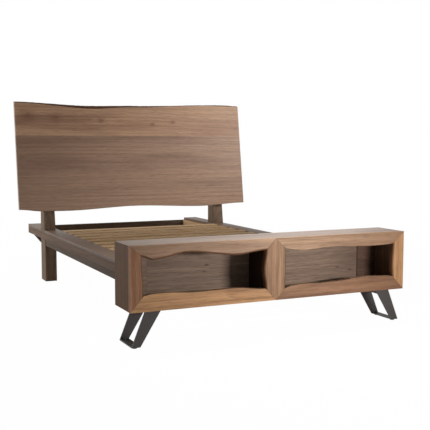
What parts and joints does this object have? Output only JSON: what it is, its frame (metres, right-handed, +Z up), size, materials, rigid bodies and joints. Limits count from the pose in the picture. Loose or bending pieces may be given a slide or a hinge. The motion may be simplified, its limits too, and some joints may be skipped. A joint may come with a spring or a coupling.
{
  "type": "platform bed frame",
  "caption": "Live-edge wooden platform bed frame with a leaning headboard on posts, slatted deck, and a footboard bench with open cubbies on tapered steel legs.",
  "frame": {"origin": "on the floor, below the middle of the whole bed, tails included", "axes": "+X to the right as seen from the foot, +Y from the footboard bench towards the headboard, +Z up"},
  "size_m": [2.01, 3.024, 1.4715],
  "materials": {
    "headboard_walnut": "oiled, with dark bark along the upper edge",
    "post_walnut": "oiled",
    "rail_walnut": "oiled",
    "rail_dark_walnut": "oiled, darker",
    "bench_walnut": "satin varnish",
    "back_barn_wood": "rough sawn",
    "frame_honey_wood": "satin varnish",
    "support_pine": "bare, planed",
    "gunmetal_steel": "dark patina under clear lacquer",
    "zinc_steel": "zinc plated",
    "glide_nylon": "moulded"
  },
  "bodies": {
    "frame": {"headboard_top_board": "headboard_walnut", "headboard_middle_board": "headboard_walnut", "headboard_bottom_board": "headboard_walnut", "headboard_battens": "post_walnut", "headboard_bolts": "zinc_steel", "left_post": "post_walnut", "right_post": "post_walnut", "head_cross_rail": "support_pine", "tail_cross_rail": "rail_dark_walnut", "left_rail_fascia": "rail_walnut", "right_rail_fascia": "rail_walnut", "left_rail_lower_board": "rail_dark_walnut", "right_rail_lower_board": "rail_dark_walnut", "left_ledge_board": "rail_walnut", "right_ledge_board": "rail_walnut", "left_slat_bearer": "support_pine", "right_slat_bearer": "support_pine", "bearer_bolts": "zinc_steel", "rail_brackets": "gunmetal_steel", "centre_beam": "support_pine", "beam_hangers": "gunmetal_steel", "centre_legs": "support_pine", "slat_01": "support_pine", "slat_02": "support_pine", "slat_03": "support_pine", "slat_04": "support_pine", "slat_05": "support_pine", "slat_06": "support_pine", "slat_07": "support_pine", "slat_08": "support_pine", "slat_09": "support_pine", "slat_10": "support_pine", "slat_11": "support_pine", "slat_12": "support_pine", "slat_screws": "zinc_steel", "bench_top": "bench_walnut", "bench_bottom": "bench_walnut", "bench_left_end": "bench_walnut", "bench_right_end": "bench_walnut", "left_divider": "bench_walnut", "right_divider": "bench_walnut", "bench_back_panel": "back_barn_wood", "left_back_board": "back_barn_wood", "right_back_board": "back_barn_wood", "left_stile": "frame_honey_wood", "centre_stile": "frame_honey_wood", "right_stile": "frame_honey_wood", "left_top_rail": "frame_honey_wood", "right_top_rail": "frame_honey_wood", "left_bottom_rail": "frame_honey_wood", "right_bottom_rail": "frame_honey_wood", "left_steel_leg": "gunmetal_steel", "right_steel_leg": "gunmetal_steel", "leg_bolts": "zinc_steel"},
    "left_front_glide_body": {"left_front_glide": "glide_nylon"},
    "left_rear_glide_body": {"left_rear_glide": "glide_nylon"},
    "right_front_glide_body": {"right_front_glide": "glide_nylon"},
    "right_rear_glide_body": {"right_rear_glide": "glide_nylon"},
    "front_centre_glide_body": {"front_centre_glide": "glide_nylon"},
    "rear_centre_glide_body": {"rear_centre_glide": "glide_nylon"}
  },
  "joints": [
    {"name": "left_front_glide_thread", "type": "slide", "parent": "frame", "child": "left_front_glide_body", "axis": [0, 0, -1], "range_m": [0, 0.008]},
    {"name": "left_rear_glide_thread", "type": "slide", "parent": "frame", "child": "left_rear_glide_body", "axis": [0, 0, -1], "range_m": [0, 0.008]},
    {"name": "right_front_glide_thread", "type": "slide", "parent": "frame", "child": "right_front_glide_body", "axis": [0, 0, -1], "range_m": [0, 0.008]},
    {"name": "right_rear_glide_thread", "type": "slide", "parent": "frame", "child": "right_rear_glide_body", "axis": [0, 0, -1], "range_m": [0, 0.008]},
    {"name": "front_centre_glide_thread", "type": "slide", "parent": "frame", "child": "front_centre_glide_body", "axis": [0, 0, -1], "range_m": [0, 0.008]},
    {"name": "rear_centre_glide_thread", "type": "slide", "parent": "frame", "child": "rear_centre_glide_body", "axis": [0, 0, -1], "range_m": [0, 0.008]}
  ]
}
